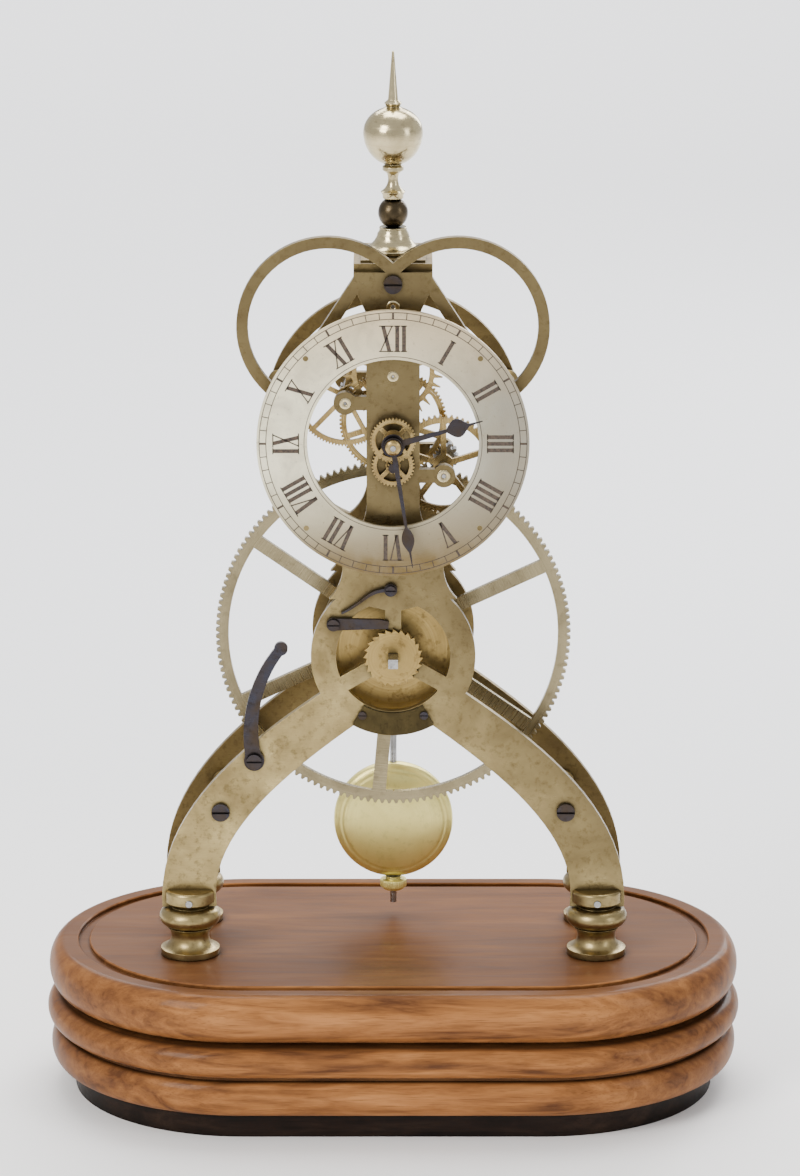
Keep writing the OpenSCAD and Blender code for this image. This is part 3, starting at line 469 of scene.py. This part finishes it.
# which CAD nodes get which material
FINISH = {
    mahogany: ["base_board"],
    ebony: ["base_plinth"],
    plate_brass: ["frame_feet", "front_plate", "dial_posts"],
    # these parts take the darker brass, as painted shade
    shaded_rear_brass: ["rear_plate", "pillars", "top_cap", "suspension_cock"],
    finial_brass: ["finial_base", "finial_spire"],
    bronze: ["finial_knop"],
    plate_bronze: ["nameplate"],
    silver: ["chapter_ring"],
    barrel_brass: ["barrel_drum", "barrel_cover", "ratchet_wheel"],
    wheel_brass: ["great_wheel"],
    dial_wheel_brass: [
        "intermediate_wheel",
        "centre_wheel",
        "third_wheel",
        "escape_wheel",
        "minute_wheel",
        "hour_wheel",
        "hand_collet",
    ],
    bob_brass: ["pendulum_bob", "rating_nut", "suspension_spring"],
    bright_steel: [
        "foot_bolts",
        "foot_pins",
        "finial_stud",
        "mainspring",
        "barrel_arbor",
        "intermediate_arbor",
        "centre_arbor",
        "third_arbor",
        "escape_arbor",
        "pallet_anchor",
        "pallet_arbor",
        "crutch",
        "cannon_pinion",
        "pendulum_rod",
    ],
    blued_steel: [
        "pillar_screws",
        "nameplate_screws",
        "click",
        "click_screw",
        "click_spring",
        "minute_stud",
        "hour_hand",
        "minute_hand",
        "cock_screws",
        "stop_lever",
        "stop_lever_screw",
    ],
}
for material, names in FINISH.items():
    for name in names:
        held = frame["nodes"][name]
        for material_slot in held.material_slots:
            material_slot.material = material

# ---- mesh helpers ----------------------------------------------------------


SHARP = 0.6  # radians


def mark_edges(mesh):
    """Smooth faces, with a sharp edge where they meet at more than SHARP."""
    for face in mesh.faces:
        face.smooth = True
    for edge in mesh.edges:
        edge.smooth = len(edge.link_faces) == 2 and edge.calc_face_angle(0) < SHARP


def shown(name, mesh, material, body):
    """A new piece from a bmesh, smooth but for its sharp edges."""
    bmesh.ops.remove_doubles(mesh, verts=mesh.verts, dist=0.002 * MM)
    bmesh.ops.recalc_face_normals(mesh, faces=mesh.faces)
    mark_edges(mesh)
    data = bpy.data.meshes.new(name)
    mesh.to_mesh(data)
    mesh.free()
    data.materials.append(material)
    made = bpy.data.objects.new(name, data)
    bpy.context.scene.collection.objects.link(made)
    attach(made, body)
    return made


def turn(mesh, profile, centre, axis="Z", steps=96, lobes=None):
    """Adds a solid turned about an axis through centre. The profile is (radius, place along it).

    lobes is (count, depth): it knurls the widest radius.
    """
    widest = max(r for r, _ in profile)
    rings = []
    for r, along in profile:
        ring = []
        for i in range(steps):
            a = 2 * math.pi * i / steps
            rr = r
            if lobes and r > 0.98 * widest:
                rr -= lobes[1] * (0.5 + 0.5 * math.cos(lobes[0] * a))
            across = (rr * math.cos(a), rr * math.sin(a))
            spot = (
                (across[0], across[1], along)
                if axis == "Z"
                else (across[0], along, across[1])
            )
            ring.append(mesh.verts.new(Vector(centre) + Vector(spot)))
        rings.append(ring)
    for at, (low, high) in enumerate(zip(rings, rings[1:])):
        if profile[at][0] == profile[at + 1][0] == 0:
            continue
        for i in range(steps):
            k = (i + 1) % steps
            mesh.faces.new((low[i], low[k], high[k], high[i]))
    for ring, r in ((rings[0], profile[0][0]), (rings[-1], profile[-1][0])):
        if r > 0 and profile[0] != profile[-1]:
            mesh.faces.new(ring)


def bore(mesh, r, start, end, centre, axis="Z"):
    """Adds a plain round cutter between two places along its axis."""
    turn(mesh, [(r, start), (r, end)], centre, axis, 48)


def arc(centre, rx, ry, start, end, n):
    """Points on an ellipse, from start to end in degrees."""
    angles = [math.radians(start + (end - start) * i / n) for i in range(n + 1)]
    return [(centre[0] + rx * math.cos(a), centre[1] + ry * math.sin(a)) for a in angles]


def mm(points):
    """Points given in millimetres, in metres."""
    return [(a * MM, b * MM) for a, b in points]


def lift(points, base):
    """The profile, with its places along the axis counted from base."""
    return [(r, base + along) for r, along in points]


def prism(mesh, outline, y0, y1):
    """Adds a flat solid: an outline in x and z, between two places in depth."""
    front = [mesh.verts.new((x, y0, z)) for x, z in outline]
    back = [mesh.verts.new((x, y1, z)) for x, z in outline]
    mesh.faces.new(front)
    mesh.faces.new(back[::-1])
    n = len(outline)
    for i in range(n):
        k = (i + 1) % n
        mesh.faces.new((front[k], front[i], back[i], back[k]))


def cut(target, cutter):
    """Takes the bmesh cutter out of a piece."""
    bmesh.ops.recalc_face_normals(cutter, faces=cutter.faces)
    data = bpy.data.meshes.new("cutter")
    cutter.to_mesh(data)
    cutter.free()
    tool = bpy.data.objects.new("cutter", data)
    bpy.context.scene.collection.objects.link(tool)
    step = target.modifiers.new("cut", "BOOLEAN")
    step.object = tool
    step.operation = "DIFFERENCE"
    step.solver = "EXACT"
    bpy.context.view_layer.update()
    seen = target.evaluated_get(bpy.context.evaluated_depsgraph_get())
    result = bpy.data.meshes.new_from_object(seen)
    target.modifiers.clear()
    target.data = result
    bpy.data.objects.remove(tool)
    edges = bmesh.new()
    edges.from_mesh(result)
    mark_edges(edges)
    edges.to_mesh(result)
    edges.free()


# ---- base ------------------------------------------------------------------

board_lo, board_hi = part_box("base_board")
feet_lo, feet_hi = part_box("frame_feet")
FOOT_R = 13.5 * MM
BOLT_R = 2.5 * MM
BOLT_ROOM = 0.2 * MM
PIN_ROOM = 0.05 * MM
foot_x = feet_hi.x - FOOT_R
foot_y = feet_hi.y - FOOT_R
FOOT_SPOTS = [(x, y) for x in (-foot_x, foot_x) for y in (-foot_y, foot_y)]
BAND_GAP = 1.5 * MM
TOP_BAND = 22 * MM
MID_BAND = 14 * MM
GROOVE_IN = 14 * MM
GROOVE_W = 5 * MM
GROOVE_D = 2 * MM
LOW_BULGE = 5 * MM
MID_BULGE = 6.5 * MM
TOP_BULGE = 7.5 * MM
TOP_INSET = 2 * MM  # the top band stands this much further in than the lower two
GROOVE_SOFT = 0.5 * MM


def oval_ring(mesh, inset, z, steps):
    """A ring of points round the base's oval plan."""
    depth = board_hi.y - board_lo.y
    straight = (board_hi.x - board_lo.x - depth) / 2
    r = depth / 2 - inset
    ring = []
    for side, start in ((1, -90), (-1, 90)):
        for i in range(steps + 1):
            a = math.radians(start + 180 * i / steps)
            ring.append(
                mesh.verts.new((side * straight + r * math.cos(a), r * math.sin(a), z))
            )
    return ring


def band(inset, low, height, bulge, steps):
    """(inset, height) up a half-round moulding that bulges out from inset."""
    side = arc((0, low + height / 2), bulge, height / 2, -90, 90, steps)
    return [(inset - x, z) for x, z in side]


def board_profile():
    """(inset, height) up the board's edge: three bands, the flat top and the dome's groove."""
    z0, top = board_lo.z, board_hi.z
    top_low = top - TOP_BAND
    mid_low = top_low - BAND_GAP - MID_BAND
    low_height = mid_low - BAND_GAP - z0
    points = band(MID_BULGE, z0, low_height, LOW_BULGE, 28)
    points += band(MID_BULGE, mid_low, MID_BAND, MID_BULGE, 28)
    points += band(MID_BULGE + TOP_INSET, top_low, TOP_BAND, TOP_BULGE, 36)
    groove_out = GROOVE_IN + GROOVE_W
    return points + [
        (GROOVE_IN - GROOVE_SOFT, top),
        (GROOVE_IN, top - GROOVE_SOFT),
        (GROOVE_IN, top - GROOVE_D),
        (groove_out, top - GROOVE_D),
        (groove_out, top - GROOVE_SOFT),
        (groove_out + GROOVE_SOFT, top),
    ]


def build_board():
    """The wooden board, with a hole for each foot's bolt."""
    mesh = bmesh.new()
    rings = [oval_ring(mesh, inset, z, 96) for inset, z in board_profile()]
    for low, high in zip(rings, rings[1:]):
        n = len(low)
        for i in range(n):
            k = (i + 1) % n
            mesh.faces.new((low[i], low[k], high[k], high[i]))
    mesh.faces.new(rings[0][::-1])
    mesh.faces.new(rings[-1])
    board = shown("moulded_board", mesh, mahogany, "frame")
    holes = bmesh.new()
    for x, y in FOOT_SPOTS:
        bore(holes, BOLT_R + BOLT_ROOM, board_lo.z - MM, board_hi.z + MM, (x, y, 0))
    cut(board, holes)
    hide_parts("base_board")


build_board()

# ---- feet ------------------------------------------------------------------

SLOT_D = 8 * MM
SLOT_W = 4 * MM
foot_profile = mm(
    [(BOLT_R / MM, 0), (12.6, 0), (13, 0.4), (13, 3)]
    + arc((14, 8.5), 5.6, 5.6, 260, 130, 20)
    + arc((8.5, 17.5), 5, 4.5, -90, 90, 20)
    + [(9, 23), (11, 24.5), (11, 28.5)]
    + arc((9.5, 28.5), 1.5, 1.5, 0, 90, 6)
    + [(0, 30)]
)


def build_feet():
    """Four turned feet, with the bolt's bore, the slot for the leg and the pin's hole in each."""
    bore_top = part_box("foot_bolts")[1].z + MM
    bolt_bore = [(0, bore_top), (BOLT_R, bore_top), (BOLT_R, feet_lo.z)]
    profile = lift(foot_profile, feet_lo.z) + bolt_bore
    pin_lo, pin_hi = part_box("foot_pins")
    pin_z = (pin_lo.z + pin_hi.z) / 2
    pin_r = (pin_hi.z - pin_lo.z) / 2 + PIN_ROOM
    r = FOOT_R + MM
    low = feet_hi.z - SLOT_D
    high = feet_hi.z + MM
    mesh = bmesh.new()
    slots = bmesh.new()
    pin_holes = bmesh.new()
    for x, y in FOOT_SPOTS:
        turn(mesh, profile, (x, y, 0), steps=64)
        sides = [(x - r, low), (x + r, low), (x + r, high), (x - r, high)]
        prism(slots, sides, y - SLOT_W / 2, y + SLOT_W / 2)
        bore(pin_holes, pin_r, y - r, y + r, (x, 0, pin_z), "Y")
    feet = shown("turned_feet", mesh, plate_brass, "frame")
    cut(feet, slots)
    cut(feet, pin_holes)
    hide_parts("frame_feet")


build_feet()

# ---- finial ----------------------------------------------------------------

STUD_R = 1.5 * MM
stud_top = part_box("finial_stud")[1].z


def build_trumpet():
    """The finial's foot, flaring out at the bottom, bored for the stud."""
    points = mm(
        [(1.5, 0), (12.5, 0), (13, 0.5), (13, 1.6), (12.6, 2)]
        + arc((14.5, 9.5), 7.8, 7.8, 255, 190, 20)
        + [(6, 9.5), (6, 10.7), (5.7, 11), (1.5, 11), (1.5, 0)]
    )
    mesh = bmesh.new()
    turn(mesh, lift(points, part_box("finial_base")[0].z), (0, 0, 0))
    foot = shown("finial_trumpet", mesh, finial_brass, "frame")
    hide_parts("finial_base")


def build_ball():
    """The small dark ball, bored for the stud."""
    low, high = (corner.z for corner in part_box("finial_knop"))
    half = (high - low) / 2
    ball = arc((STUD_R, low + half), 5 * MM, half, -90, 90, 28)
    mesh = bmesh.new()
    turn(mesh, ball + [ball[0]], (0, 0, 0))
    knop = shown("finial_ball", mesh, bronze, "frame")
    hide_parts("finial_knop")


def build_pear():
    """The pear-shaped ball on its waisted foot, with the spike above and the stud's hole below."""
    low, tip = (corner.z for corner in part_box("finial_spire"))
    ball_z = 29
    points = [(1.5, 0), (4.2, 0), (4.5, 0.3), (4.5, 1.5)]
    points += arc((8.5, 8.5), 6.3, 6.3, 240, 155, 20)
    points += [(4.6, 12.5), (4.6, 14), (3.4, 15)]
    points += arc((0, ball_z), 12.9, 14.5, -62, 0, 24)
    points += arc((0, ball_z), 12.9, 11, 3, 70, 24)
    points += [(3, ball_z + 11.2), (3.8, ball_z + 12.7), (2.2, ball_z + 14.2)]
    spike = [(0.5 * MM, tip - 0.4 * MM), (0, tip)]
    stud_hole = [(0, stud_top), (STUD_R, stud_top), (STUD_R, low)]
    mesh = bmesh.new()
    turn(mesh, lift(mm(points), low) + spike + stud_hole, (0, 0, 0))
    pear = shown("finial_pear", mesh, finial_brass, "frame")
    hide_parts("finial_spire")


build_trumpet()
build_ball()
build_pear()

# ---- dial engraving --------------------------------------------------------

NUMERALS = "XII I II III IIII V VI VII VIII IX X XI".split()
NUMERAL_H = 11.5 * MM
NUMERAL_MID = 46.2 * MM
THICK = 1.7 * MM
THIN = 0.55 * MM
SERIF = 0.45 * MM
PROUD = 0.06 * MM
SUNK = 0.1 * MM
LETTER_W = {"I": 2.6 * MM, "V": 6.2 * MM, "X": 6.2 * MM}
LETTER_GAP = 0.3 * MM
TRACK_IN = dial_r - 4.2 * MM
TRACK_OUT = dial_r - 1.3 * MM
TRACK_LINE = 0.3 * MM
INNER_LINE_R = 38.2 * MM
INNER_LINE = 0.25 * MM
HOUR_MARK = 0.9 * MM
MINUTE_MARK = 0.35 * MM
face_y = dial_lo.y


def placed(points, angle):
    """Points (across, out) on the dial, turned to angle; across runs clockwise."""
    out = (math.cos(angle), math.sin(angle))
    across = (out[1], -out[0])
    return [
        (
            dial_centre.x + u * across[0] + v * out[0],
            dial_centre.z + u * across[1] + v * out[1],
        )
        for u, v in points
    ]


def stroke(mesh, angle, foot, head, width):
    """A straight stroke from foot to head, cut level at both ends."""
    w = width / 2
    outline = [
        (foot[0] - w, foot[1]),
        (foot[0] + w, foot[1]),
        (head[0] + w, head[1]),
        (head[0] - w, head[1]),
    ]
    prism(mesh, placed(outline, angle), face_y - PROUD, face_y + SUNK)


def numeral(mesh, text, angle):
    """One hour's numeral, its foot towards the dial's middle."""
    low, high = NUMERAL_MID - NUMERAL_H / 2, NUMERAL_MID + NUMERAL_H / 2
    total = sum(LETTER_W[c] for c in text) + LETTER_GAP * (len(text) - 1)
    u = -total / 2
    for letter in text:
        w = LETTER_W[letter]
        mid = u + w / 2
        if letter == "I":
            stroke(mesh, angle, (mid, low), (mid, high), THICK)
        elif letter == "V":
            stroke(mesh, angle, (mid, low), (u + THICK, high), THICK)
            stroke(mesh, angle, (mid, low), (u + w - THIN, high), THIN)
        else:
            stroke(mesh, angle, (u + w - THICK, low), (u + THICK, high), THICK)
            stroke(mesh, angle, (u + THIN, low), (u + w - THIN, high), THIN)
        if letter != "V":
            stroke(mesh, angle, (mid, low), (mid, low + SERIF), w)
        stroke(mesh, angle, (mid, high - SERIF), (mid, high), w)
        u += w + LETTER_GAP


def circle_line(mesh, r, width):
    """An engraved circle on the dial."""
    turn(
        mesh,
        [
            (r, face_y - PROUD),
            (r + width, face_y - PROUD),
            (r + width, face_y + SUNK),
            (r, face_y + SUNK),
            (r, face_y - PROUD),
        ],
        (dial_centre.x, 0, dial_centre.z),
        "Y",
        180,
    )


def build_dial():
    """The engraving, filled with wax: the hours, the minute track and a line inside them."""
    mesh = bmesh.new()
    for hour, text in enumerate(NUMERALS):
        numeral(mesh, text, math.radians(90 - 30 * hour))
    shown("hour_numerals", mesh, wax, "frame")
    mesh = bmesh.new()
    circle_line(mesh, TRACK_IN, TRACK_LINE)
    circle_line(mesh, TRACK_OUT, TRACK_LINE)
    circle_line(mesh, INNER_LINE_R, INNER_LINE)
    for minute in range(60):
        width = HOUR_MARK if minute % 5 == 0 else MINUTE_MARK
        stroke(mesh, math.radians(6 * minute), (0, TRACK_IN), (0, TRACK_OUT), width)
    shown("minute_track", mesh, wax, "frame")


build_dial()

# ---- pivots, bob and nut ---------------------------------------------------

front_lo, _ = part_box("front_plate")
_, rear_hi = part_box("rear_plate")


# each pivot's joint, with the inner and outer radius of its bushings in mm
BUSHINGS = {
    "intermediate_turn": (1.1, 2.9),
    "third_turn": (0.8, 2.5),
    "escape_turn": (0.7, 2.4),
    "pallet_rock": (1.0, 2.8),
}


def build_bushings():
    """Thin brass rings set round the pivots, where the plates were bushed."""
    mesh = bmesh.new()
    proud = 0.2 * MM
    for joint, (inner, outer) in BUSHINGS.items():
        at = joints[joint]
        for face, way in ((front_lo.y, -1), (rear_hi.y, 1)):
            points = [
                (inner * MM, face),
                (outer * MM, face),
                (outer * MM, face + way * 0.5 * proud),
                ((outer - 0.2) * MM, face + way * proud),
                ((inner + 0.5) * MM, face + way * proud),
                (inner * MM, face + way * 0.3 * proud),
                (inner * MM, face),
            ]
            turn(mesh, points, (at.x, 0, at.z), "Y", 48)
    shown("pivot_bushings", mesh, finial_brass, "frame")


build_bushings()

ROD_R = 1.54 * MM  # the hole in the bob and the nut, just over the rod
BOB_STEPS = 40


def build_bob():
    """A lens-shaped brass bob with a turned edge and a fine ring cut in each face."""
    r = (bob_hi.x - bob_lo.x) / 2
    half = (bob_hi.y - bob_lo.y) / 2
    edge = 1.2 * MM
    ring_r, ring_w, ring_d = 0.86 * r, 0.5 * MM, 0.18 * MM

    def swell(t):
        return edge + (half - edge) * math.sqrt(max(0, 1 - t * t))

    face = []
    for i in range(BOB_STEPS + 1):
        t = math.sin(math.pi / 2 * i / BOB_STEPS)
        sunk = ring_d if abs(t * r - ring_r) < ring_w else 0
        face.append((t * r, swell(t) - sunk))
    rim = [(r - 0.25 * MM, edge + 0.1 * MM), (r, edge - 0.3 * MM)]
    upper = face[:-1] + rim
    points = [(a, -b) for a, b in upper] + upper[::-1]
    mesh = bmesh.new()
    turn(mesh, points, bob_centre, "Y", 160)
    bob = shown("lens_bob", mesh, bob_brass, "bob")
    drill = bmesh.new()
    bore(drill, ROD_R, bob_lo.z - MM, bob_hi.z + MM, (bob_centre.x, bob_centre.y, 0))
    cut(bob, drill)
    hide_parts("pendulum_bob")


build_bob()


def build_nut():
    """The rating nut, with a milled edge."""
    low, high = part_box("rating_nut")
    r = (high.x - low.x) / 2
    points = [
        (ROD_R, low.z),
        (r - 1.5 * MM, low.z),
        (r - 0.3 * MM, low.z + 1.2 * MM),
        (r, low.z + 1.5 * MM),
        (r, high.z - 1.7 * MM),
        (r - 0.3 * MM, high.z - 1.4 * MM),
        (3.5 * MM, high.z - MM),
        (3.5 * MM, high.z),
        (ROD_R, high.z),
        (ROD_R, low.z),
    ]
    mesh = bmesh.new()
    turn(mesh, points, (bob_centre.x, bob_centre.y, 0), steps=288, lobes=(36, 0.25 * MM))
    nut = shown("milled_nut", mesh, bob_brass, "rating_nut")
    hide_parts("rating_nut")


build_nut()

# ---- stage -----------------------------------------------------------------


def build_floor():
    """A wide floor of pale paper, with painted shade: warmer and brighter at the front, greyer further
    back.
    """
    mesh = bmesh.new()
    bmesh.ops.create_circle(mesh, cap_ends=True, segments=96, radius=14)
    data = bpy.data.meshes.new("floor")
    mesh.to_mesh(data)
    mesh.free()
    s = Shader("shaded_floor_paper")
    deep = s.node("ShaderNodeSeparateXYZ", Vector=s.coords)
    # painted shade: the floor greys with depth behind the clock
    far = s.grey(deep.outputs["Y"], 0, 1, 0.1, 0.9)
    colour = s.ramp(
        far,
        (0.0, (0.95, 0.935, 0.92)),
        (0.45, (0.88, 0.88, 0.89)),
        (1.0, (0.90, 0.90, 0.92)),
    )
    grain = s.noise(s.scaled((1800,) * 3), 3)
    s.set("Base Color", s.mix(s.grey(grain, 0, 0.05), colour, (0.7, 0.7, 0.7)))
    s.set("Roughness", 0.75)
    data.materials.append(s.mat)
    floor = bpy.data.objects.new("floor", data)
    bpy.context.scene.collection.objects.link(floor)


def softbox(name, place, size, watts, colour=(1, 1, 1), aim=(0, 0, 0.25)):
    """A rectangular light at place, turned to face aim."""
    light = bpy.data.lights.new(name, "AREA")
    light.shape = "RECTANGLE"
    light.size, light.size_y = size
    light.energy = watts
    light.color = colour
    made = bpy.data.objects.new(name, light)
    made.location = place
    way = Vector(aim) - Vector(place)
    made.rotation_euler = way.to_track_quat("-Z", "Y").to_euler()
    bpy.context.scene.collection.objects.link(made)


build_floor()
softbox("key", (-1.3, -1.5, 1.5), (0.9, 1.2), 48, (1, 0.985, 0.96))
softbox("fill", (1.6, -1.0, 0.8), (0.5, 1.2), 8, (0.95, 0.97, 1))
softbox("top", (0.1, 0.5, 1.9), (1.4, 0.8), 34)
softbox("rim", (0.8, 1.5, 0.9), (0.5, 1.0), 12, (0.95, 0.97, 1))
softbox("far_floor", (0, 3.4, 2.4), (3.4, 2.2), 150, aim=(0, 3.0, 0))

world = bpy.data.worlds.new("studio")
world.use_nodes = True
backdrop = world.node_tree.nodes["Background"]
backdrop.inputs["Color"].default_value = (0.88, 0.89, 0.91, 1)
backdrop.inputs["Strength"].default_value = 0.95
bpy.context.scene.world = world

# ---- camera ----------------------------------------------------------------

CAMERA_RISE = math.radians(15)
CAMERA_AWAY = 2.4
CAMERA_AIM = Vector((0.003, 0, 0.228))
PICTURE_W = 0.3524  # how much the picture's width takes in, where the camera is aimed
SENSOR = 36

camera = bpy.data.cameras.new("camera")
camera.sensor_fit = "HORIZONTAL"
camera.sensor_width = SENSOR
camera.lens = SENSOR * CAMERA_AWAY / PICTURE_W
viewer = bpy.data.objects.new("camera", camera)
viewer.location = CAMERA_AIM + CAMERA_AWAY * Vector(
    (0, -math.cos(CAMERA_RISE), math.sin(CAMERA_RISE))
)
viewer.rotation_euler = (CAMERA_AIM - viewer.location).to_track_quat("-Z", "Y").to_euler()
bpy.context.scene.collection.objects.link(viewer)
bpy.context.scene.camera = viewer
